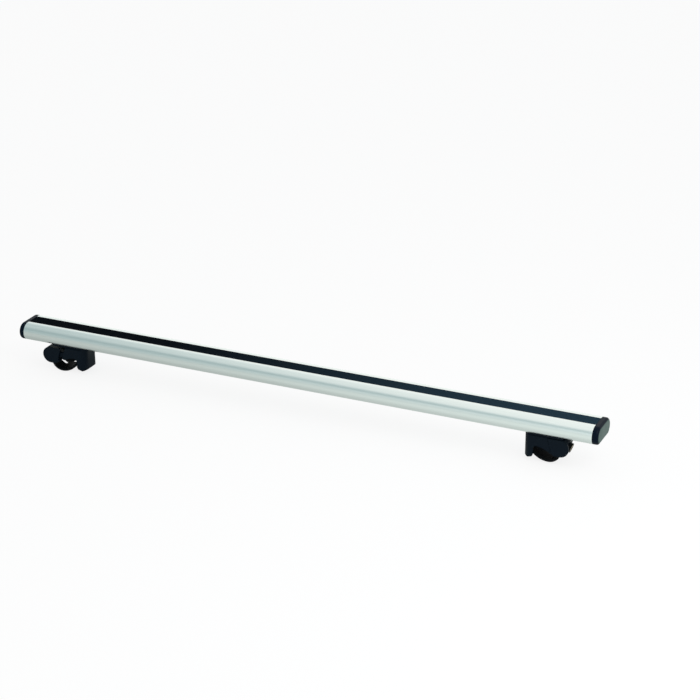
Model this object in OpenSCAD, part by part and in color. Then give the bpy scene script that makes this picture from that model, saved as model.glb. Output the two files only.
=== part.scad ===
// Roof rack crossbar: an oval aluminium bar with a ribbed rubber strip, carried
// by two feet that clamp round raised roof rails. X runs along the bar, Y to the
// back, Z up. The bar stands on the straps of its two feet, at Z = 0.

/* [Bar] */
// Overall length over both end caps
overall_l = 1200; // [900:10:1500]
// Width of the oval section
bar_w = 73; // [68:1:84]
// Height of the section, up to the silver crown
bar_h = 32; // [32:0.5:36]
// Radius of the rounded front and back of the section
nose_r = 17.3; // [17:0.1:20]
// Wall thickness of the extrusion
wall = 2; // [1.6:0.1:2.4]
// Thickness of the webs inside the extrusion
web = 1.8; // [1.4:0.1:2.2]
// Inside width of the channels above and below
channel_w = 22; // [20:0.5:24]
// Width of the slots that open the channels
slot_w = 11; // [9:0.5:13]
// Inside height of the upper channel
top_channel_h = 7.8; // [6:0.2:9]
// Inside height of the lower channel
low_channel_h = 5; // [4.6:0.1:6]
// Thickness of the lips beside the lower slot
lip_t = 2.5; // [2:0.1:3]

/* [Rubber strip] */
// Width of the strip
strip_w = 29; // [26:0.5:31]
// Depth of the bed that the strip lies in
bed_depth = 2.2; // [1.6:0.1:2.6]
// Height of the strip above the silver crown
strip_proud = 0.3; // [0:0.1:1]
// Number of grooves along the strip
grooves = 7; // [3:1:9]
// Width of each groove
groove_w = 1.3; // [0.8:0.1:1.8]
// Depth of each groove
groove_depth = 0.7; // [0.4:0.1:1]

/* [End caps] */
// Length of a cap outside the bar
cap_l = 11.5; // [9:0.5:16]
// Radius of the cap's outer rim
cap_round = 5; // [3:0.5:6]
// Wall thickness of the cap
cap_wall = 3; // [2:0.5:3]
// Length of the plugs inside the bar
plug_l = 22; // [12:1:30]

/* [Feet] */
// Distance from each end of the bar to the back of its foot's finger
foot_inset = 137; // [110:1:400]
// Depth of a foot from front to back
foot_d = 50; // [46:1:56]
// Length of the foot's flange under the bar
flange_l = 67; // [64:1:72]
// Thickness of the flange
flange_t = 5; // [4.6:0.1:6]
// Thickness of the rubber gasket on the flange
gasket_t = 1.5; // [1:0.1:2.5]
// How deep the finger reaches below the bar
finger_depth = 51.5; // [49:0.5:53]
// Thickness of the finger along the bar
finger_t = 13; // [12:0.5:14]
// Wall thickness of the moulded foot
shell = 3.5; // [3:0.1:4]
// How far the rounded inner end of a foot stands out
nose_l = 5.4; // [4:0.2:7]
// Radius of the upright edges of that end
edge_r = 15; // [10:0.5:18]

/* [Rail seat] */
// Length of the face that lies on the rail
seat_l = 19; // [16:0.5:19]
// Tilt of that face, down towards the jaw
seat_tilt = 2; // [0:0.5:3]
// Distance of its middle from the back of the finger
seat_x = 32.5; // [32.3:0.1:32.6]
// Depth of its middle below the bar
seat_depth = 35; // [34.6:0.1:35.4]

/* [Clamp jaw] */
// Tilt of the clamp bolt and of the jaw's travel
slide_tilt = 18; // [15:1:20]
// Travel of the jaw from closed to fully open
travel = 12; // [8:0.5:12]
// How far the right jaw stands open
right_open = 0; // [0:0.5:12]
// How far the left jaw stands open
left_open = 10.5; // [0:0.5:12]
// Radius of the jaw's round outer lobe
lobe_r = 16.3; // [16:0.1:17]
// Thickness of the wall that carries the bolt head
head_wall = 4.5; // [4:0.1:6]
// Width of each guide tongue
tongue_w = 6; // [5:0.1:6]
// Height of each guide tongue
tongue_h = 8; // [6:0.5:8]

/* [Strap] */
// Width of the steel strap
strap_w = 39; // [32:1:39]
// Thickness of the steel strap
strap_t = 3; // [2:0.1:3.2]
// Outside radius of the strap's outer bend
bend_r = 24; // [23:0.1:25]
// Outside radius of the strap's long bend towards the finger
sweep_r = 42; // [40:0.5:46]
// Thickness of the rubber liner in the strap
liner_t = 1.5; // [1:0.1:1.6]
// Width of the window in the strap
window_w = 11; // [8:1:11]
// Distance of the window from the middle of the strap
window_y = 10; // [0:1:11]

/* [Bolt and screws] */
// Diameter of the clamp bolt
bolt_d = 8; // [6:1:8]
// Diameter of the clamp bolt's head
head_d = 13; // [12:0.5:13.5]
// Height of the clamp bolt's head
head_h = 4.8; // [4:0.2:6]
// Diameter of the black collar under the head
collar_d = 18; // [17:0.5:19]
// Height of the collar
collar_h = 6.4; // [5:0.1:7]
// Thickness of the collar's floor under the head
collar_floor = 1.6; // [1:0.1:2]
// Width across the flats of the bolt's socket
socket_af = 6; // [5:0.5:7]
// Width across the flats of the captive nut
nut_af = 13; // [11:0.5:13]
// Thickness of the captive nut
nut_t = 6.5; // [5:0.5:7]
// Length of thread still in the nut when the jaw is fully open
thread_left = 5; // [4:0.5:6]
// Diameter of the screws that hold a foot to the bar
screw_d = 6; // [5:0.5:6]
// Length of the clamp plate in the bar
plate_l = 60; // [56:1:62]
// Thickness of the clamp plate
plate_t = 4; // [3:0.1:4.2]

/* [Fits] */
// Clearance of pieces that slide on each other
slide_gap = 0.25; // [0.15:0.05:0.4]
// Clearance round pieces that are only put in place
fit_gap = 0.3; // [0.2:0.05:0.5]
// Radial clearance of a bolt or screw in its thread
thread_gap = 0.05; // [0.02:0.01:0.1]
// Radial clearance of a bolt in a plain hole
hole_gap = 0.4; // [0.3:0.05:0.6]

/* [Hidden] */
$fn = 64;
e = 0.01;

// Bar: the section is drawn with Y across and Z up from the bar's underside
bar_l = overall_l - 2 * cap_l;
nose_y = bar_w / 2 - nose_r;
nose_z = bar_h - nose_r;
bed_z = bar_h - bed_depth;
low_roof_z = lip_t + low_channel_h;
top_floor_z = bed_z - wall - top_channel_h;
web_y = channel_w / 2;

// Foot: X starts at the inner face, Z = 0 is the underside of the bar
half_d = foot_d / 2;
flange_z = -gasket_t - flange_t;
seam_top = [flange_l - 28, flange_z];
seam_mid = [flange_l - 20.6, -30.4];
seam_low = [flange_l - 24.6, -33.6];
hook_low = [flange_l - 15.3, -38.6];
jaw_gap = 0.7;
hook_gap = [0.44, -0.55];
jaw_top = flange_z - jaw_gap;
lobe_x = flange_l - 3;
lobe_z = jaw_top - lobe_r;
jaw_low = lobe_z - lobe_r;
arch = [[finger_t, -31], [16.4, -26.6], [19.4, -25.8], [31, -27.9]];
pad_lift = 4.6;
roof = [[finger_t + 0.2, arch[2][1] + pad_lift + 0.4], [arch[2][0] + 0.6, arch[2][1] + pad_lift],
        [seam_low[0] + 0.8, -30.8]];

// Jaw: the slanted frame has its origin at the centre of the strap's outer bend
bend_x = flange_l - 26;
bend_z = -31.7;
bolt_w = 13.5;
strap_end = 21.5;
wall_s = bend_r + head_wall;
head_s = wall_s + collar_floor;
tongue_low = 6;
tongue_s = -26;
tongue_out = half_d - shell - slide_gap;
nut_s = -17;
pocket_s = nut_s + nut_t;
bolt_tip_s = pocket_s - thread_left - travel;
tip_x = finger_t - 6;
liner_end = -42;
belly_depth = bend_r - bend_z;

// Screws that hold the foot to the bar
screw_x = [finger_t - 3.2, flange_l - 9];
screw_head_d = 2 * screw_d;
screw_head_h = 0.55 * screw_d;
finger_roof = -24;

// The open jaw hangs lower, so the more open foot sets the height of the bar
bar_z = belly_depth + max(left_open, right_open) * sin(slide_tilt);

// Helpers
module along_x(x0, x1) {
    translate([x0, 0, 0]) rotate([90, 0, 90]) linear_extrude(x1 - x0) children();
}

module along_y(y0, y1) {
    translate([0, y1, 0]) rotate([90, 0, 0]) linear_extrude(y1 - y0) children();
}

module box2(a, b) {
    translate(a) square(b - a);
}

module box3(a, b) {
    translate(a) cube(b - a);
}

// A pair of shapes, one on each side of the middle plane
module both_sides() {
    children();
    mirror([1, 0]) children();
}

// A quarter of a circle, in the corner that the signs of dir point to
module quarter(r, dir) {
    intersection() {
        circle(r);
        translate([dir[0] > 0 ? 0 : -r - 1, dir[1] > 0 ? 0 : -r - 1]) square(r + 1);
    }
}

// Part of a ring between two angles, drawn in plan
module ring_part(r, t, from, to) {
    step = (to - from) / 4;
    intersection() {
        difference() {
            circle(r);
            circle(r - t);
        }
        polygon(concat([[0, 0]], [for (i = [0:4]) 2 * r * [cos(from + i * step), sin(from + i * step)]]));
    }
}

// Puts a foot's pieces under the bar: side 1 is the right, side -1 the left
module at_foot(side) {
    mirror([side < 0 ? 1 : 0, 0, 0])
        translate([overall_l / 2 - foot_inset, 0, bar_z]) children();
}

// Moves a jaw's pieces out along their slanted guide
module opened(side) {
    out = side < 0 ? left_open : right_open;
    translate([out * cos(slide_tilt), 0, -out * sin(slide_tilt)]) children();
}

// The slanted frame: its X is the travel of the jaw, its Z stands across it
module slanted() {
    translate([bend_x, 0, bend_z]) rotate([0, slide_tilt, 0]) children();
}

// A round along the bolt's axis between two places in the slanted frame
module on_bolt(s0, s1, d) {
    slanted() translate([s0, 0, bolt_w]) rotate([0, 90, 0]) cylinder(d = d, h = s1 - s0);
}

// Oval outline of the bar, smaller all round by inset, before the flat underside is cut
module oval(inset) {
    r = nose_r - inset;
    both_sides() translate([nose_y, nose_z]) intersection() {
        circle(r);
        box2([0, -r - 1], [r + 1, r + 1]);
    }
    box2([-nose_y, nose_z - r], [nose_y, nose_z + r]);
}

// Side chamber of the extrusion, smaller all round by gap
module side_chamber(gap) {
    difference() {
        intersection() {
            oval(wall + gap);
            box2([web_y + web + gap, wall + gap], [bar_w, bar_h]);
        }
        box2([0, bed_z - wall - gap], [strip_w / 2 + fit_gap + wall + gap, bar_h]);
    }
}

module bar_section() {
    difference() {
        intersection() {
            oval(0);
            box2([-bar_w, 0], [bar_w, bar_h]);
        }
        box2([-strip_w / 2 - fit_gap, bed_z], [strip_w / 2 + fit_gap, bar_h + 1]);
        box2([-slot_w / 2, bed_z - wall - e], [slot_w / 2, bed_z + e]);
        box2([-web_y, top_floor_z], [web_y, bed_z - wall]);
        box2([-web_y, low_roof_z + web], [web_y, top_floor_z - web]);
        box2([-web_y, lip_t], [web_y, low_roof_z]);
        box2([-slot_w / 2, -e], [slot_w / 2, lip_t + e]);
        both_sides() side_chamber(0);
    }
}

module bar() {
    color("silver")
        translate([0, 0, bar_z]) along_x(-bar_l / 2, bar_l / 2) bar_section();
}

// Ribbed strip with the stem that snaps into the upper slot
module strip_section() {
    top = bar_h + strip_proud;
    pitch = (strip_w - 2) / grooves;
    difference() {
        box2([-strip_w / 2, bed_z], [strip_w / 2, top]);
        for (i = [0:grooves - 1])
            translate([(i - (grooves - 1) / 2) * pitch, 0])
                box2([-groove_w / 2, top - groove_depth], [groove_w / 2, top + 1]);
    }
    box2([-slot_w / 2 + fit_gap, bed_z - wall - 1], [slot_w / 2 - fit_gap, bed_z + e]);
    box2([-slot_w / 2 - 2, bed_z - wall - 1.8], [slot_w / 2 + 2, bed_z - wall]);
}

module strip() {
    color([0.09, 0.12, 0.17])
        translate([0, 0, bar_z]) along_x(-bar_l / 2, bar_l / 2) strip_section();
}

// Solid form of a cap, with a rounded outer rim and smaller all round by inset
module cap_form(inset) {
    r = nose_r - inset;
    l = cap_l - inset;
    rim = cap_round - inset / 2;
    intersection() {
        union() {
            for (side = [-1, 1])
                translate([0, side * nose_y, nose_z]) rotate([0, 90, 0])
                    rotate_extrude() {
                        square([r - rim, l]);
                        translate([r - rim, 0]) square([rim, l - rim]);
                        translate([r - rim, l - rim]) quarter(rim, [1, 1]);
                    }
            along_y(-nose_y, nose_y) translate([0, nose_z]) {
                box2([0, -r], [l - rim, r]);
                box2([l - rim, -r + rim], [l, r - rim]);
                for (side = [-1, 1])
                    translate([l - rim, side * (r - rim)]) quarter(rim, [1, side]);
            }
        }
        along_y(-bar_w, bar_w) {
            box2([-e, inset], [l - 3, 2 * bar_h]);
            box2([l - 3, inset + 3], [l + 1, 2 * bar_h]);
            translate([l - 3, inset + 3]) quarter(3, [1, -1]);
        }
    }
}

// Moulded cap with two plugs that reach into the side chambers
module end_cap(side) {
    color([0.07, 0.09, 0.11])
        mirror([side < 0 ? 1 : 0, 0, 0]) translate([bar_l / 2, 0, bar_z]) {
            difference() {
                cap_form(0);
                translate([-e, 0, 0]) cap_form(cap_wall);
            }
            along_x(-plug_l, cap_l - cap_wall + e) both_sides() difference() {
                side_chamber(fit_gap);
                translate([web_y + 1.5, 0]) intersection() {
                    side_chamber(fit_gap + 2.2);
                    box2([0, 0], [bar_w / 2, bar_h]);
                }
            }
        }
}

// Outline of the foot seen along the bar, with rounded lower corners
module foot_front_outline() {
    round_r = 8;
    box2([-half_d + 2, flange_z - e], [half_d - 2, -gasket_t]);
    polygon([[-half_d + 1, flange_z], [-half_d, flange_z - 1.3], [-half_d, -finger_depth + round_r],
             [half_d, -finger_depth + round_r], [half_d, flange_z - 1.3], [half_d - 1, flange_z]]);
    both_sides() translate([half_d - round_r, -finger_depth + round_r]) quarter(round_r, [1, -1]);
    box2([-half_d + round_r, -finger_depth], [half_d - round_r, -finger_depth + round_r]);
}

// Side outline of the fixed half: flange, cheek, finger and the arch over the rail
module body_outline() {
    box2([-nose_l, flange_z], [flange_l, -gasket_t]);
    box2([-nose_l, -20], [finger_t, flange_z + e]);
    offset(r = 1.5, $fn = 32) offset(r = -3, $fn = 32) offset(r = 1.5, $fn = 32)
        polygon(concat([[-nose_l, flange_z + 3], [-nose_l, -finger_depth + 12],
                        [-nose_l + 3.4, -finger_depth + 6.5], [-nose_l + 8.4, -finger_depth + 2.5],
                        [finger_t - 4.5, -finger_depth], [finger_t - 1.5, -finger_depth + 3.5],
                        [finger_t, -finger_depth + 8]],
                       arch, [seam_low, seam_mid, seam_top, [seam_top[0], flange_z + 3]]));
}

// Plan outline with its rounded inner end, smaller by inset, up to end_x
module foot_plan(inset, end_x) {
    round_x = edge_r - nose_l;
    box2([round_x, -half_d + inset], [end_x, half_d - inset]);
    box2([-nose_l + inset, -half_d + edge_r], [round_x, half_d - edge_r]);
    for (side = [-1, 1])
        translate([round_x, side * (half_d - edge_r)]) quarter(edge_r - inset, [-1, side]);
}

// Fixed half of a foot, moulded in one piece
module foot_body(side) {
    color([0.06, 0.08, 0.11]) at_foot(side) difference() {
        intersection() {
            along_y(-half_d, half_d) body_outline();
            along_x(-nose_l - 1, flange_l + 1) foot_front_outline();
            translate([0, 0, -finger_depth - 1]) linear_extrude(finger_depth + 1)
                foot_plan(0, flange_l + 1);
        }
        // Hollow of the finger, where the tip of the strap goes in
        box3([shell, -half_d + shell + 1, -finger_depth - 1],
             [finger_t + 1, half_d - shell - 1, finger_roof]);
        // Bed of the rail pad
        along_y(-half_d + shell + 1, half_d - shell - 1)
            polygon(concat([[finger_t - e, -finger_depth - 1]], [[finger_t - e, roof[0][1]]], roof,
                           [[roof[2][0], -finger_depth - 1]]));
        // Channels of the guide tongues
        slanted() for (y = [-tongue_out, tongue_out - tongue_w])
            box3([tongue_s - 1, y - slide_gap, tongue_low - slide_gap],
                 [30, y + tongue_w + slide_gap, tongue_low + tongue_h + slide_gap]);
        // Way of the clamp bolt and slot of its nut
        on_bolt(bolt_tip_s - 1, 20, bolt_d + 2 * hole_gap);
        slanted() box3([nut_s - slide_gap, -nut_af / 2 - slide_gap / 2, -6],
                       [pocket_s, nut_af / 2 + slide_gap / 2, bolt_w + 0.6 * nut_af]);
        // Countersunk holes of the screws, with a deep way to the inner one
        for (x = screw_x) translate([x, 0, 0]) screw_hole();
        translate([screw_x[0], 0, finger_roof - e])
            cylinder(d = screw_head_d + 0.2, h = flange_z - finger_roof + 2 * e);
    }
}

module screw_hole() {
    translate([0, 0, flange_z - e]) {
        cylinder(d1 = screw_head_d + 0.2, d2 = screw_d + 0.2, h = screw_head_h + e);
        cylinder(d = screw_d + 2 * hole_gap, h = -flange_z + 2 * e);
    }
}

module foot_gasket(side) {
    color([0.03, 0.03, 0.035]) at_foot(side) difference() {
        translate([0, 0, -gasket_t]) linear_extrude(gasket_t) foot_plan(2, flange_l);
        for (x = screw_x) translate([x, 0, -gasket_t - 1])
            cylinder(d = screw_d + 2 * hole_gap, h = gasket_t + 2);
    }
}

// Threaded plate that slides in the lower channel of the bar
module clamp_plate(side) {
    mid = (screw_x[0] + screw_x[1]) / 2;
    color([0.55, 0.56, 0.58]) at_foot(side) difference() {
        box3([mid - plate_l / 2, -web_y + 1, lip_t], [mid + plate_l / 2, web_y - 1, lip_t + plate_t]);
        for (x = screw_x) translate([x, 0, 0]) cylinder(d = screw_d, h = 2 * bar_h);
    }
}

// Two countersunk screws, each with a hexagon socket in its head
module plate_screws(side) {
    color([0.5, 0.5, 0.52]) at_foot(side) for (x = screw_x) translate([x, 0, flange_z])
        difference() {
            union() {
                cylinder(d1 = screw_head_d, d2 = screw_d - 2 * thread_gap, h = screw_head_h);
                cylinder(d = screw_d - 2 * thread_gap, h = -flange_z + lip_t + plate_t);
            }
            translate([0, 0, -e]) cylinder(d = 4 / cos(30), h = 2.2, $fn = 6);
        }
}

// Rubber pad with the slanted face that lies on the rail
module rail_pad(side) {
    along = [cos(seat_tilt), -sin(seat_tilt)] * seat_l / 2;
    middle = [seat_x, -seat_depth];
    color([0.03, 0.03, 0.035]) at_foot(side)
        along_y(-half_d + shell + 1 + fit_gap, half_d - shell - 1 - fit_gap)
            polygon(concat(roof, [[roof[2][0], seam_low[1] + 0.4], seam_low + [-0.4, -0.4],
                                  middle + along, middle - along, middle - along + [-1.2, 2.4],
                                  [finger_t + 0.2, -seat_depth + 3.6]]));
}

// Captive nut in its slot, drawn against the slot's outer face
module clamp_nut(side) {
    color([0.6, 0.58, 0.5]) at_foot(side) slanted()
        translate([nut_s, 0, bolt_w]) rotate([0, 90, 0]) difference() {
            cylinder(d = nut_af / cos(30), h = nut_t, $fn = 6);
            translate([0, 0, -1]) cylinder(d = bolt_d, h = nut_t + 2);
        }
}

// Side outline of the jaw's block, up to the wall that carries the bolt head
module jaw_outline() {
    translate([lobe_x, lobe_z]) circle(lobe_r);
    polygon([[seam_top[0] + jaw_gap, jaw_top], [lobe_x, jaw_top], [lobe_x, jaw_low], [hook_low[0], jaw_low],
             hook_low, seam_low + hook_gap, seam_mid + hook_gap + [0.2, 0]]);
}

// Plan of the block, rounded at the back
module jaw_plan() {
    back_r = 14;
    nose_x = lobe_x + 13;
    box2([seam_top[0] - 5, -half_d], [nose_x - back_r, half_d]);
    box2([nose_x - back_r, -half_d], [nose_x + 1, half_d - back_r]);
    translate([nose_x - back_r, half_d - back_r]) intersection() {
        circle(back_r);
        box2([0, 0], [back_r + 1, back_r + 1]);
    }
}

// Sliding outer half of a foot, with its guide tongues and its front fairing
module jaw(side) {
    color([0.06, 0.085, 0.12]) at_foot(side) opened(side) difference() {
        union() {
            intersection() {
                along_y(-half_d, half_d) jaw_outline();
                translate([0, 0, jaw_low - 1]) linear_extrude(-jaw_low) jaw_plan();
                along_x(0, 2 * lobe_x) foot_front_outline();
                slanted() box3([-foot_d, -foot_d, -foot_d], [wall_s, foot_d, foot_d]);
            }
            intersection() {
                along_y(-half_d, -half_d + shell) jaw_outline();
                along_x(0, 2 * lobe_x) foot_front_outline();
            }
            slanted() for (y = [-tongue_out, tongue_out - tongue_w])
                box3([tongue_s, y, tongue_low], [12, y + tongue_w, tongue_low + tongue_h]);
        }
        // Slot of the strap, open downwards
        slanted() box3([bend_r - strap_t - slide_gap, -strap_w / 2 - fit_gap, -14],
                       [bend_r, strap_w / 2 + fit_gap, strap_end + fit_gap]);
        // Pockets between ribs in the underside
        slanted() for (y = [-16, -4.8, 6.4])
            box3([9, y, -14], [17, y + 9.6, 4]);
        on_bolt(-20, wall_s + 1, bolt_d + 2 * hole_gap);
    }
}

// Bent steel strap that goes under the rail
module strap_path(r_cut, t, to) {
    translate([bend_x, bend_z]) ring_part(bend_r - r_cut, t, -90, to);
    translate([bend_x, bend_z - bend_r + sweep_r])
        ring_part(sweep_r - r_cut, t, -90 - sweep_angle(tip_x), -90);
}

// Angle from the lowest point at which the long bend reaches x
function sweep_angle(x) = asin((bend_x - x) / sweep_r);

// Window through the strap where it rises to the jaw
module strap_window(side) {
    long = 15;
    translate([bend_x, -side * window_y, bend_z]) rotate([0, 54, 0]) translate([bend_r - 8, 0, 0]) {
        box3([0, -window_w / 2, -long / 2 + 3], [12, window_w / 2, long / 2 - 3]);
        box3([0, -window_w / 2 + 3, -long / 2], [12, window_w / 2 - 3, long / 2]);
        for (y = [-1, 1], z = [-1, 1])
            translate([0, y * (window_w / 2 - 3), z * (long / 2 - 3)]) rotate([0, 90, 0])
                cylinder(r = 3, h = 12);
    }
}

module strap(side) {
    color([0.05, 0.06, 0.07]) at_foot(side) opened(side) difference() {
        union() {
            along_y(-strap_w / 2, strap_w / 2) strap_path(0, strap_t, -slide_tilt);
            slanted() box3([bend_r - strap_t, -strap_w / 2, -e], [bend_r, strap_w / 2, strap_end]);
        }
        strap_window(side);
        on_bolt(bend_r - strap_t - 1, bend_r + 1, bolt_d + 2 * hole_gap);
    }
}

// Rubber liner on the inside of the strap
module strap_liner(side) {
    color([0.03, 0.03, 0.035]) at_foot(side) opened(side) difference() {
        along_y(-strap_w / 2, strap_w / 2) strap_path(strap_t, liner_t, liner_end);
        strap_window(side);
    }
}

// Black collar that guards the bolt head
module bolt_collar(side) {
    color([0.05, 0.05, 0.055]) at_foot(side) opened(side) difference() {
        on_bolt(wall_s, wall_s + collar_h, collar_d);
        on_bolt(wall_s - 1, wall_s + collar_h + 1, bolt_d + 2 * hole_gap);
        on_bolt(head_s, wall_s + collar_h + 1, head_d + 2 * fit_gap);
    }
}

// Clamp bolt with a hexagon socket
module clamp_bolt(side) {
    chamfer = 0.6;
    color([0.78, 0.66, 0.32]) at_foot(side) opened(side) difference() {
        union() {
            on_bolt(bolt_tip_s, head_s + e, bolt_d - 2 * thread_gap);
            on_bolt(head_s, head_s + head_h - chamfer, head_d);
            slanted() translate([head_s + head_h - chamfer, 0, bolt_w]) rotate([0, 90, 0])
                cylinder(d1 = head_d, d2 = head_d - 2 * chamfer, h = chamfer);
        }
        slanted() translate([head_s + head_h - 0.6 * head_h, 0, bolt_w]) rotate([0, 90, 0])
            cylinder(d = socket_af / cos(30), h = head_h, $fn = 6);
    }
}

bar();
strip();
end_cap(1);  // end_cap_right
end_cap(-1);  // end_cap_left
foot_body(1);  // foot_body_right
foot_gasket(1);  // foot_gasket_right
clamp_plate(1);  // clamp_plate_right
plate_screws(1);  // plate_screws_right
rail_pad(1);  // rail_pad_right
clamp_nut(1);  // clamp_nut_right
jaw(1);  // jaw_right
strap(1);  // strap_right
strap_liner(1);  // strap_liner_right
bolt_collar(1);  // bolt_collar_right
clamp_bolt(1);  // clamp_bolt_right
foot_body(-1);  // foot_body_left
foot_gasket(-1);  // foot_gasket_left
clamp_plate(-1);  // clamp_plate_left
plate_screws(-1);  // plate_screws_left
rail_pad(-1);  // rail_pad_left
clamp_nut(-1);  // clamp_nut_left
jaw(-1);  // jaw_left
strap(-1);  // strap_left
strap_liner(-1);  // strap_liner_left
bolt_collar(-1);  // bolt_collar_left
clamp_bolt(-1);  // clamp_bolt_left
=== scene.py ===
# %% [markdown]
# # A roof rack crossbar
#
# This file dresses one crossbar: an oval aluminium bar with a ribbed rubber strip,
# two end caps and two feet that clamp a raised roof rail. The solids come from a
# CAD model, so their sizes are settled. Here they get rounded edges, finishes,
# light and a camera. One unit is a metre, X runs along the bar, Y to the back and
# Z up, and the bar stands on Z = 0.

# %% Load the solids
import math

import bmesh
import bpy
from mathutils import Matrix, Vector


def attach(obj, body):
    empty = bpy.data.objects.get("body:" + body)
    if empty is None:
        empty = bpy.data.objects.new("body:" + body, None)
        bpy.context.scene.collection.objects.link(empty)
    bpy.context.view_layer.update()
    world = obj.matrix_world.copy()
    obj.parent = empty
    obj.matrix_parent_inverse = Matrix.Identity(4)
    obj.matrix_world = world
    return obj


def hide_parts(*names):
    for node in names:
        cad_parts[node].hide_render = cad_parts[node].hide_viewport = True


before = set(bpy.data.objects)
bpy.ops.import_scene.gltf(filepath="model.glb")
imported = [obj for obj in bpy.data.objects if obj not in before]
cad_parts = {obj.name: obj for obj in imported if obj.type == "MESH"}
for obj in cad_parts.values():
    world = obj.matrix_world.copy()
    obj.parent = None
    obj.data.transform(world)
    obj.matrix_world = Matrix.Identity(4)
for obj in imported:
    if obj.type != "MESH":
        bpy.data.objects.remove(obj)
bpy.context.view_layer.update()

SIDES = ("right", "left")

# %% [markdown]
# ## Shared effects
#
# Three things show on several finishes, so each is a small node group that is made
# once: the fine grain of a mould, the long die lines of an extrusion, and the faint
# film of dust and handling that every used surface has. A group only puts out
# values. Each material decides what to do with them, and keeps its own shader.

# %% Helpers for node trees
def new_group(name, inputs, outputs):
    group = bpy.data.node_groups.new(name, "ShaderNodeTree")
    for label, value in inputs:
        socket = group.interface.new_socket(label, in_out="INPUT", socket_type="NodeSocketFloat")
        socket.default_value = value
    for label in outputs:
        group.interface.new_socket(label, in_out="OUTPUT", socket_type="NodeSocketFloat")
    start = group.nodes.new("NodeGroupInput")
    end = group.nodes.new("NodeGroupOutput")
    return group, start, end


def add(tree, kind, **values):
    node = tree.nodes.new(kind)
    for name, value in values.items():
        if hasattr(node, name):
            setattr(node, name, value)
        else:
            node.inputs[name.replace("_", " ")].default_value = value
    return node


def math_node(tree, operation, a, b):
    node = tree.nodes.new("ShaderNodeMath")
    node.operation = operation
    for socket, value in zip(node.inputs, (a, b)):
        if isinstance(value, (int, float)):
            socket.default_value = value
        else:
            tree.links.new(value, socket)
    return node.outputs[0]


def map_range(tree, value, start, stop, low=0.0, high=1.0, smooth=False):
    node = add(tree, "ShaderNodeMapRange", interpolation_type="SMOOTHSTEP" if smooth else "LINEAR")
    node.inputs["From Min"].default_value = start
    node.inputs["From Max"].default_value = stop
    node.inputs["To Min"].default_value = low
    node.inputs["To Max"].default_value = high
    tree.links.new(value, node.inputs["Value"])
    return node


def coordinates(tree, kind):
    parts = add(tree, "ShaderNodeSeparateXYZ")
    tree.links.new(add(tree, "ShaderNodeTexCoord").outputs[kind], parts.inputs["Vector"])
    return parts.outputs


# %% [markdown]
# ### Moulded grain
#
# Black car parts are moulded in tools with an etched face, which leaves pits well
# under a millimetre. A displaced mesh would need millions of faces for that, so a
# noise drives a bump instead. The noise reads object coordinates, which are metres
# here, so a scale of 1800 puts a pit about every half millimetre. Each finish sets
# its own scale.

# %% Group: moulded grain
def make_grain():
    group, start, end = new_group("Moulded grain", [("Scale", 1800.0)], ["Height"])
    place = add(group, "ShaderNodeTexCoord")
    pits = add(group, "ShaderNodeTexNoise", Detail=2.0, Roughness=0.6)
    group.links.new(place.outputs["Object"], pits.inputs["Vector"])
    group.links.new(start.outputs["Scale"], pits.inputs["Scale"])
    group.links.new(pits.outputs["Fac"], end.inputs["Height"])
    return group


grain = make_grain()
print("group:", grain.name)

# %% [markdown]
# ### Die lines
#
# Aluminium is pushed through a die, and every nick in the die draws a line along the
# whole bar. Stretching a noise a few hundred times along X gives such lines. They
# are faint under anodising, so the group only puts out a value for a light bump.

# %% Group: die lines
def make_die_lines():
    group, start, end = new_group("Die lines", [("Fineness", 900.0)], ["Lines"])
    place = add(group, "ShaderNodeTexCoord")
    stretch = add(group, "ShaderNodeMapping")
    stretch.inputs["Scale"].default_value = (0.004, 1.0, 1.0)
    lines = add(group, "ShaderNodeTexNoise", Detail=3.0, Roughness=0.55)
    group.links.new(place.outputs["Object"], stretch.inputs["Vector"])
    group.links.new(stretch.outputs["Vector"], lines.inputs["Vector"])
    group.links.new(start.outputs["Fineness"], lines.inputs["Scale"])
    group.links.new(lines.outputs["Fac"], end.inputs["Lines"])
    return group


die_lines = make_die_lines()
print("group:", die_lines.name)

# %% [markdown]
# ### Dust and handling
#
# Even a new part is touched and dusted when it is fitted. Large soft clouds mark
# where hands have been, and the faces that look up hold a little more dust. The
# group reads the surface normal for that, which belongs to the object and not to
# the camera.

# %% Group: dust and handling
def make_handling():
    group, start, end = new_group("Dust and handling", [("Cloud size", 26.0)], ["Touched", "Dust"])
    place = add(group, "ShaderNodeTexCoord")
    clouds = add(group, "ShaderNodeTexNoise", Detail=5.0, Roughness=0.62)
    group.links.new(place.outputs["Object"], clouds.inputs["Vector"])
    group.links.new(start.outputs["Cloud size"], clouds.inputs["Scale"])
    touched = map_range(group, clouds.outputs["Fac"], 0.38, 0.68)
    specks = add(group, "ShaderNodeTexNoise", Scale=700.0, Detail=4.0, Roughness=0.7)
    group.links.new(place.outputs["Object"], specks.inputs["Vector"])
    shape = add(group, "ShaderNodeNewGeometry")
    up = add(group, "ShaderNodeSeparateXYZ")
    group.links.new(shape.outputs["Normal"], up.inputs["Vector"])
    lying = math_node(group, "MAXIMUM", up.outputs["Z"], 0.15)
    dust = math_node(group, "MULTIPLY", lying, specks.outputs["Fac"])
    group.links.new(touched.outputs["Result"], end.inputs["Touched"])
    group.links.new(dust, end.inputs["Dust"])
    return group


handling = make_handling()
print("group:", handling.name)

# %% [markdown]
# ## Finishes
#
# Every finish is one Principled shader. Its plain numbers are set on the sockets,
# and only what changes over the surface is linked: colour with dust, roughness with
# handling, and a bump. One helper does the wiring that all of them share.

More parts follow.
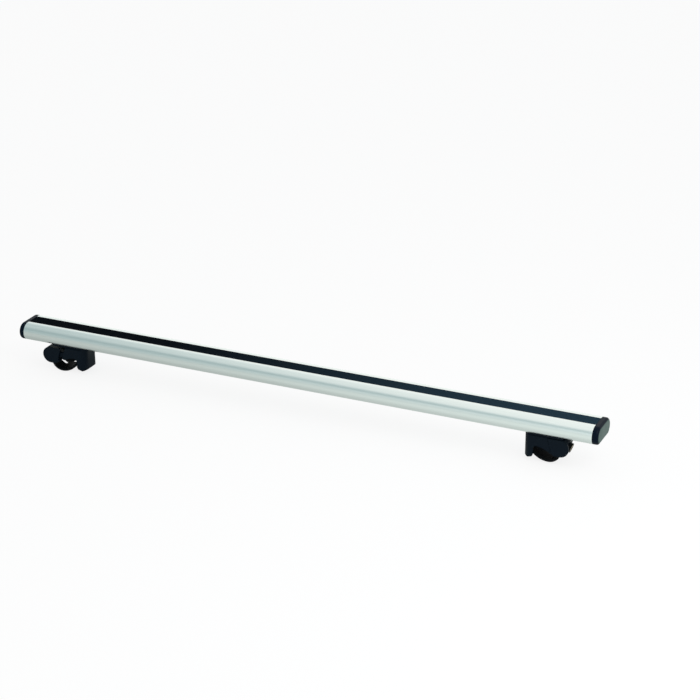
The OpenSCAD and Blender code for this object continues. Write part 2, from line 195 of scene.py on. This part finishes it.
# %% A helper that wires a finish
def new_finish(name, color, dust_color, dust, roughness, spread, **plain):
    finish = bpy.data.materials.new(name)
    finish.use_nodes = True
    tree = finish.node_tree
    shader = tree.nodes["Principled BSDF"]
    for label, value in plain.items():
        shader.inputs[label.replace("_", " ")].default_value = value
    film = add(tree, "ShaderNodeGroup", node_tree=handling)
    tint = add(tree, "ShaderNodeMix", data_type="RGBA")
    tint.inputs["A"].default_value = (*color, 1.0)
    tint.inputs["B"].default_value = (*dust_color, 1.0)
    tree.links.new(math_node(tree, "MULTIPLY", film.outputs["Dust"], dust), tint.inputs["Factor"])
    tree.links.new(tint.outputs["Result"], shader.inputs["Base Color"])
    rough = map_range(tree, film.outputs["Touched"], 0.0, 1.0, roughness - spread, roughness + spread)
    tree.links.new(rough.outputs["Result"], shader.inputs["Roughness"])
    return finish, tree, shader


def add_bump(tree, shader, height, depth):
    bump = add(tree, "ShaderNodeBump", Strength=1.0, Distance=depth)
    tree.links.new(height, bump.inputs["Height"])
    tree.links.new(bump.outputs["Normal"], shader.inputs["Normal"])


def moulded(name, color, dust, roughness, scale, depth, **plain):
    finish, tree, shader = new_finish(name, color, (0.20, 0.20, 0.19), dust, roughness, 0.06, **plain)
    pits = add(tree, "ShaderNodeGroup", node_tree=grain)
    pits.inputs["Scale"].default_value = scale
    add_bump(tree, shader, pits.outputs["Height"], depth)
    return finish


# %% [markdown]
# ### Satin aluminium
#
# The bar is extruded aluminium with a satin, colourless anodised skin. A metallic
# shader with a middling roughness gives the wide soft highlight. The die lines
# break it up a little along the bar.

# %% Finish: satin aluminium
def make_satin_aluminium():
    finish, tree, shader = new_finish("Satin aluminium", (0.86, 0.92, 0.90), (0.62, 0.64, 0.62), 0.03,
                                      0.30, 0.01, Metallic=1.0)
    drawn = add(tree, "ShaderNodeGroup", node_tree=die_lines)
    drawn.inputs["Fineness"].default_value = 1100.0
    add_bump(tree, shader, drawn.outputs["Lines"], 0.000004)
    return finish


satin_aluminium = make_satin_aluminium()
print("finish:", satin_aluminium.name)

# %% [markdown]
# ### Plastics and rubbers
#
# The feet and caps are black glass-filled plastic with a blue cast and a fine etched
# grain. The strip is a softer, more matte rubber. All of them are dielectrics, so
# the shader's own specular level does the gloss. It is low, because the etched
# grain scatters nearly all of what a smooth plastic would mirror.

# %% Finishes: plastics and rubbers
foot_plastic = moulded("Black foot plastic", (0.0022, 0.0062, 0.0115), 0.010, 0.42, 1700.0, 0.00004,
                       Specular_IOR_Level=0.07)
cap_plastic = moulded("Black cap plastic", (0.0006, 0.0045, 0.0120), 0.004, 0.34, 2200.0, 0.00002,
                      Specular_IOR_Level=0.06)
collar_plastic = moulded("Smooth black plastic", (0.0015, 0.002, 0.003), 0.010, 0.36, 2600.0, 0.00001,
                         Specular_IOR_Level=0.10)
strip_rubber = moulded("Ribbed strip rubber", (0.0004, 0.0022, 0.0045), 0.002, 0.60, 1500.0, 0.00002,
                       Specular_IOR_Level=0.008)
seal_rubber = moulded("Seal rubber", (0.0012, 0.0022, 0.0032), 0.004, 0.66, 1300.0, 0.00004,
                      Specular_IOR_Level=0.05)
soft_finishes = (foot_plastic, cap_plastic, collar_plastic, strip_rubber, seal_rubber)
print("finishes:", [finish.name for finish in soft_finishes])

# %% [markdown]
# ### Painted light on the strip and the right cap
#
# The strip gets a little paler towards the right end, and the flat outer face of the
# right cap is paler than its rim. Both are painted light. The first is a painted
# reflection, brighter towards the end under the key lamp, mixed in by the place along
# the bar. The second is a painted highlight on the face that looks towards that lamp,
# mixed in by the way the surface faces, which leaves the left cap dark.

# %% Painted light: paler right end of the strip, paler face of the right cap
def paint_in_light(finish, color, coordinate, start, stop):
    tree = finish.node_tree
    shader = tree.nodes["Principled BSDF"]
    before = shader.inputs["Base Color"].links[0].from_socket
    # How much painted light is mixed over the finish's own colour
    painted_light_share = map_range(tree, coordinates(tree, coordinate)["X"], start, stop, smooth=True)
    mix = add(tree, "ShaderNodeMix", data_type="RGBA")
    tree.links.new(painted_light_share.outputs["Result"], mix.inputs["Factor"])
    tree.links.new(before, mix.inputs["A"])
    mix.inputs["B"].default_value = (*color, 1.0)
    tree.links.new(mix.outputs["Result"], shader.inputs["Base Color"])
    print("paler:", finish.name)


# Painted reflection: the strip grows paler towards the lit right end
paint_in_light(strip_rubber, (0.017, 0.038, 0.056), "Object", -0.40, 0.60)
# Painted highlight: the outer face of the right cap, which faces the key lamp, is paler
paint_in_light(cap_plastic, (0.045, 0.085, 0.075), "Normal", 0.90, 0.99)

# %% [markdown]
# ### Coated and plated steel
#
# The straps are powder coated, which leaves a soft orange-peel skin: a coarser
# grain with a shallow depth. The bolts and nuts are plated with zinc and passivated
# yellow, and the hidden plates and screws are plain zinc.

# %% Finishes: steels
def plated(name, color, roughness):
    finish, tree, shader = new_finish(name, color, (0.25, 0.24, 0.22), 0.12, roughness, 0.07, Metallic=1.0)
    pits = add(tree, "ShaderNodeGroup", node_tree=grain)
    pits.inputs["Scale"].default_value = 1400.0
    add_bump(tree, shader, pits.outputs["Height"], 0.00002)
    return finish



strap_coat = moulded("Powder coated strap", (0.0014, 0.0022, 0.0034), 0.010, 0.40, 620.0, 0.00005,
                     Specular_IOR_Level=0.12)
yellow_zinc = plated("Yellow zinc", (0.36, 0.26, 0.13), 0.34)
plain_zinc = plated("Plain zinc", (0.58, 0.59, 0.61), 0.33)
print("finishes:", [finish.name for finish in (strap_coat, yellow_zinc, plain_zinc)])

# %% [markdown]
# ## Rounded edges
#
# The solids have sharp edges, but a moulded or extruded edge is always a little
# round, and that roundness is what catches the light. A bevel modifier on a welded
# copy of the solid makes it. The copy then stands for the CAD solid in pictures,
# while the solid itself still does the colliding, hidden.

# %% A helper that rounds the edges of a solid
# Width of a rounded edge, and how near two points are when they are one
EDGE = 0.0006
WELD = 0.000002
# Corners flatter than this are part of a round face and stay as they are
SHARP = math.radians(32)


def rounded(node, body, finish, reshape=None):
    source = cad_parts[node]
    copy = source.copy()
    copy.data = source.data.copy()
    copy.name = node + "_rounded"
    bpy.context.scene.collection.objects.link(copy)
    mesh = bmesh.new()
    mesh.from_mesh(copy.data)
    bmesh.ops.remove_doubles(mesh, verts=mesh.verts, dist=WELD)
    bmesh.ops.dissolve_limit(mesh, angle_limit=math.radians(0.5), verts=mesh.verts, edges=mesh.edges)
    if reshape:
        to_world = source.matrix_world
        for vert in mesh.verts:
            vert.co = to_world.inverted() @ reshape(to_world @ vert.co)
    mesh.to_mesh(copy.data)
    mesh.free()
    soften = copy.modifiers.new("round", "BEVEL")
    soften.width = EDGE
    soften.segments = 2
    soften.limit_method = "ANGLE"
    soften.angle_limit = SHARP
    soften.harden_normals = True
    soften.use_clamp_overlap = True
    applied = bpy.data.meshes.new_from_object(copy.evaluated_get(bpy.context.evaluated_depsgraph_get()))
    copy.modifiers.clear()
    copy.data = applied
    copy.data.materials.clear()
    copy.data.materials.append(finish)
    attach(copy, body)
    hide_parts(node)
    print(copy.name, len(copy.data.polygons), "faces")
    return copy


def paint(node, finish):
    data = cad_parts[node].data
    data.materials.clear()
    data.materials.append(finish)


# %% [markdown]
# ## The bar, its strip and its caps
#
# The bar is one extrusion, so only its finish matters. Its ends hide in the caps.

# %% Dress the bar
paint("bar", satin_aluminium)
paint("strip", strip_rubber)
for side in SIDES:
    paint(f"end_cap_{side}", cap_plastic)

# %% [markdown]
# ## The feet
#
# A foot is a moulded body under the bar and a jaw that slides on it. Both are
# thick mouldings with edges of about half a millimetre radius. The lower corner of
# the body's inner end is cut off in steps in the solid. In the picture that corner
# is a full round belly, so the copy's corner is drawn down into one soft curve,
# which stays above the lowest point of the solid.

# %% The belly of the foot's inner end
# Height of the bar's axis, and place of the foot's inner end from the bar's middle
BAR_Z = 0.058945
INNER_END = 0.463
# Where the reshaping starts below the axis, the foot's lowest point, and how much
# the soft curve still rises at the nose
CUT_TOP = -0.0300
LOWEST = -0.0515
BELLY_RISE = 0.0030
# The chamfer's corners in the solid, along the bar from the inner end and up
STEPS = ((-0.0054, -0.0395), (-0.0020, -0.0450), (0.0030, -0.0490), (0.0085, LOWEST))


def height_of_steps(x):
    for (x0, z0), (x1, z1) in zip(STEPS, STEPS[1:]):
        if x0 <= x <= x1:
            cut = z0 + (z1 - z0) * (x - x0) / (x1 - x0)
    return cut


def belly(point):
    nose, inside = STEPS[0][0], STEPS[-1][0]
    x, z = abs(point.x) - INNER_END, point.z - BAR_Z
    if x > inside or z > CUT_TOP:
        return point
    x = max(x, nose)
    round_z = LOWEST + BELLY_RISE * ((inside - x) / (inside - nose)) ** 2
    drop = (z - CUT_TOP) * (round_z - CUT_TOP) / (height_of_steps(x) - CUT_TOP)
    return Vector((point.x, point.y, BAR_Z + CUT_TOP + max(drop, LOWEST - CUT_TOP)))


# %% [markdown]
# The body and the jaw of each foot get rounded copies. The thin strap, the rubbers
# and the steel pieces keep their own meshes and only take a finish.

# %% Dress the feet
for side in SIDES:
    rounded(f"foot_body_{side}", f"foot_{side}", foot_plastic, reshape=belly)
    rounded(f"jaw_{side}", f"jaw_{side}", foot_plastic)
    paint(f"strap_{side}", strap_coat)
    paint(f"bolt_collar_{side}", collar_plastic)
    for node in ("foot_gasket", "rail_pad", "strap_liner"):
        paint(f"{node}_{side}", seal_rubber)
    for node in ("clamp_plate", "plate_screws"):
        paint(f"{node}_{side}", plain_zinc)
    for node in ("clamp_nut", "clamp_bolt"):
        paint(f"{node}_{side}", yellow_zinc)

# %% [markdown]
# ## Floor and light
#
# The part is shown on a plain white floor. For the camera most of the floor's white
# is a glow of strength 1, so that the ground is white without more light on the
# object, and the rest is a real matte floor, which keeps the soft shadow. What the
# metal mirrors of the floor is a second glow, a painted reflection of the floor: a
# little grey, with painted shade that makes it dimmer to the left, away from the key
# lamp, and under the bar, where the bar's own shadow would lie.

# %% Floor
FLOOR_REACH = 14.0
# Share of the floor that the camera sees as plain white instead of lit matte
GLOW_SHARE = 0.84


def make_floor():
    mesh = bpy.data.meshes.new("Floor")
    corners = [(x * FLOOR_REACH, y * FLOOR_REACH, 0) for x, y in ((-1, -1), (1, -1), (1, 1), (-1, 1))]
    mesh.from_pydata(corners, [], [(0, 1, 2, 3)])
    floor = bpy.data.objects.new("Floor", mesh)
    bpy.context.scene.collection.objects.link(floor)
    finish = bpy.data.materials.new("White floor")
    finish.use_nodes = True
    tree = finish.node_tree
    tree.nodes.clear()
    matte = add(tree, "ShaderNodeBsdfDiffuse", Color=(0.88, 0.88, 0.88, 1.0))
    glow = add(tree, "ShaderNodeEmission", Color=(1.0, 1.0, 1.0, 1.0), Strength=1.0)
    mirrored = add(tree, "ShaderNodeEmission", Color=(0.94, 1.0, 0.97, 1.0))
    where = coordinates(tree, "Object")
    # Painted shade in the mirrored glow: dimmer to the left, away from the key lamp, and near the bar,
    # where its shadow lies
    across = map_range(tree, where["X"], -0.75, 0.5, 0.56, 0.86)
    under = map_range(tree, where["Y"], -0.02, -0.16, 0.78, 1.0, smooth=True)
    behind = map_range(tree, where["Y"], 0.02, 0.10, smooth=True)
    shade = math_node(tree, "MULTIPLY", across.outputs["Result"], under.outputs["Result"])
    tree.links.new(math_node(tree, "MAXIMUM", shade, behind.outputs["Result"]), mirrored.inputs["Strength"])
    ray = add(tree, "ShaderNodeLightPath")
    seen = math_node(tree, "MAXIMUM", ray.outputs["Is Camera Ray"], ray.outputs["Is Transmission Ray"])
    by_sight = add(tree, "ShaderNodeMixShader")
    by_gloss = add(tree, "ShaderNodeMixShader")
    out = add(tree, "ShaderNodeOutputMaterial")
    tree.links.new(math_node(tree, "MULTIPLY", seen, GLOW_SHARE), by_sight.inputs[0])
    tree.links.new(matte.outputs[0], by_sight.inputs[1])
    tree.links.new(glow.outputs[0], by_sight.inputs[2])
    tree.links.new(ray.outputs["Is Glossy Ray"], by_gloss.inputs[0])
    tree.links.new(by_sight.outputs[0], by_gloss.inputs[1])
    tree.links.new(mirrored.outputs[0], by_gloss.inputs[2])
    tree.links.new(by_gloss.outputs[0], out.inputs["Surface"])
    mesh.materials.append(finish)
    print("floor:", finish.name)


make_floor()

# %% [markdown]
# What the metal mirrors around it is a studio wall: white overhead, dimmer on its
# left side, and with a darker band half way up in front, so that the round face of
# the bar shows its soft bands. The wall only reads the direction in the world, and
# its group puts out two plain values.

# %% Group: studio wall
# How bright the wall is by the height of the direction, from the horizon upwards
HEIGHT_STOPS = ((0.0, 0.80), (0.26, 0.84), (0.60, 0.50), (0.88, 1.0))


# Full brightness less a share of what is lacking
def dimmed(group, lack, share):
    return math_node(group, "SUBTRACT", 1.0, math_node(group, "MULTIPLY", lack, share))


def make_wall():
    group, start, end = new_group("Studio wall", [("Left", 0.46), ("Right", 0.98)], ["Level", "Dimness"])
    toward = coordinates(group, "Generated")
    across = map_range(group, toward["X"], -0.55, -0.34, smooth=True)
    group.links.new(start.outputs["Left"], across.inputs["To Min"])
    group.links.new(start.outputs["Right"], across.inputs["To Max"])
    height = add(group, "ShaderNodeValToRGB")
    ramp = height.color_ramp
    ramp.interpolation = "EASE"
    for step, (place_up, level) in enumerate(HEIGHT_STOPS):
        stop = ramp.elements[step] if step < 2 else ramp.elements.new(place_up)
        stop.position = place_up
        stop.color = (level, level, level, 1.0)
    group.links.new(toward["Z"], height.inputs["Fac"])
    front = map_range(group, toward["Y"], 0.0, -0.3)
    ahead = map_range(group, toward["Y"], 0.80, 0.50)
    gap = math_node(group, "SUBTRACT", 1.0, height.outputs["Color"])
    gap = math_node(group, "MULTIPLY", gap, across.outputs["Result"])
    banded = dimmed(group, gap, front.outputs["Result"])
    lack = math_node(group, "SUBTRACT", 1.0, across.outputs["Result"])
    sided = dimmed(group, lack, ahead.outputs["Result"])
    level = math_node(group, "MULTIPLY", sided, banded)
    group.links.new(level, end.inputs["Level"])
    group.links.new(math_node(group, "SUBTRACT", 1.0, level), end.inputs["Dimness"])
    return group


studio_wall = make_wall()
print("group:", studio_wall.name)

# %% [markdown]
# The world is a soft overcast sky. Rays that reach it from the camera see plain
# white, and rays that the metal mirrors see the studio wall, a little cooler where
# it is dimmer.

# %% World
def make_world():
    world = bpy.data.worlds.new("Studio")
    bpy.context.scene.world = world
    world.use_nodes = True
    tree = world.node_tree
    tree.nodes.clear()
    sky = add(tree, "ShaderNodeBackground", Color=(0.97, 0.99, 1.0, 1.0), Strength=0.85)
    white = add(tree, "ShaderNodeBackground", Color=(1.0, 1.0, 1.0, 1.0), Strength=1.0)
    mirrored = add(tree, "ShaderNodeBackground")
    wall = add(tree, "ShaderNodeGroup", node_tree=studio_wall)
    tint = add(tree, "ShaderNodeMix", data_type="RGBA")
    tint.inputs["A"].default_value = (1.0, 1.0, 0.98, 1.0)
    tint.inputs["B"].default_value = (0.62, 1.0, 1.05, 1.0)
    tree.links.new(wall.outputs["Dimness"], tint.inputs["Factor"])
    tree.links.new(tint.outputs["Result"], mirrored.inputs["Color"])
    tree.links.new(wall.outputs["Level"], mirrored.inputs["Strength"])
    ray = add(tree, "ShaderNodeLightPath")
    seen = math_node(tree, "MAXIMUM", ray.outputs["Is Camera Ray"], ray.outputs["Is Transmission Ray"])
    by_gloss = add(tree, "ShaderNodeMixShader")
    by_sight = add(tree, "ShaderNodeMixShader")
    out = add(tree, "ShaderNodeOutputWorld")
    tree.links.new(ray.outputs["Is Glossy Ray"], by_gloss.inputs[0])
    tree.links.new(sky.outputs[0], by_gloss.inputs[1])
    tree.links.new(mirrored.outputs[0], by_gloss.inputs[2])
    tree.links.new(seen, by_sight.inputs[0])
    tree.links.new(by_gloss.outputs[0], by_sight.inputs[1])
    tree.links.new(white.outputs[0], by_sight.inputs[2])
    tree.links.new(by_sight.outputs[0], out.inputs["Surface"])


make_world()
print("world:", bpy.context.scene.world.name)

# %% [markdown]
# Two soft boxes do the rest: one over the right end, which makes that end of the
# bar the brighter one, and a weaker one in front to open up the shadows under it.

# %% Lamps
def soft_box(name, place, aim, size, power, color):
    data = bpy.data.lights.new(name, "AREA")
    data.shape = "RECTANGLE"
    data.size, data.size_y = size
    data.energy = power
    data.color = color
    lamp = bpy.data.objects.new(name, data)
    bpy.context.scene.collection.objects.link(lamp)
    lamp.location = place
    lamp.rotation_mode = "QUATERNION"
    lamp.rotation_quaternion = (Vector(aim) - Vector(place)).to_track_quat("-Z", "Y")
    print("lamp:", name, power, "W")


soft_box("Key", (1.35, -0.5, 1.35), (0.45, 0.0, 0.05), (1.2, 0.9), 9.0, (1.0, 1.0, 1.0))
soft_box("Fill", (0.9, -2.4, 1.1), (0.0, 0.0, 0.05), (1.4, 1.0), 5.0, (0.95, 0.98, 1.0))

# %% [markdown]
# ## Camera
#
# The angle comes from fitting the bar's long edges, its end faces and its width.
# The view is turned 24.7 degrees from square on, looks 23.1 degrees down, and the
# long lens keeps the bar's two ends nearly the same size.

# %% Camera
TURN = math.radians(24.70)
DOWN = math.radians(23.10)
LEAN = math.radians(-0.255)
EYE = (1.54584, -3.13135, 1.61451)
FOCAL_MM = 104.24


def make_camera():
    data = bpy.data.cameras.new("View")
    data.lens = FOCAL_MM
    data.sensor_width = 36.0
    data.clip_start, data.clip_end = 0.1, 60.0
    camera = bpy.data.objects.new("View", data)
    bpy.context.scene.collection.objects.link(camera)
    level_right = Vector((math.cos(TURN), math.sin(TURN), 0.0))
    ahead = Vector((-math.sin(TURN) * math.cos(DOWN), math.cos(TURN) * math.cos(DOWN), -math.sin(DOWN)))
    level_up = level_right.cross(ahead)
    right = level_right * math.cos(LEAN) + level_up * math.sin(LEAN)
    up = level_up * math.cos(LEAN) - level_right * math.sin(LEAN)
    turn = Matrix((right, up, -ahead)).transposed().to_4x4()
    camera.matrix_world = Matrix.Translation(EYE) @ turn
    bpy.context.scene.camera = camera
    return camera


view = make_camera()
print("camera at", [round(v, 3) for v in view.location])

# %% [markdown]
# ## Last settings
#
# The standard view transform shows colours as they are written.

# %% Settings and finish
bpy.context.scene.view_settings.view_transform = "Standard"
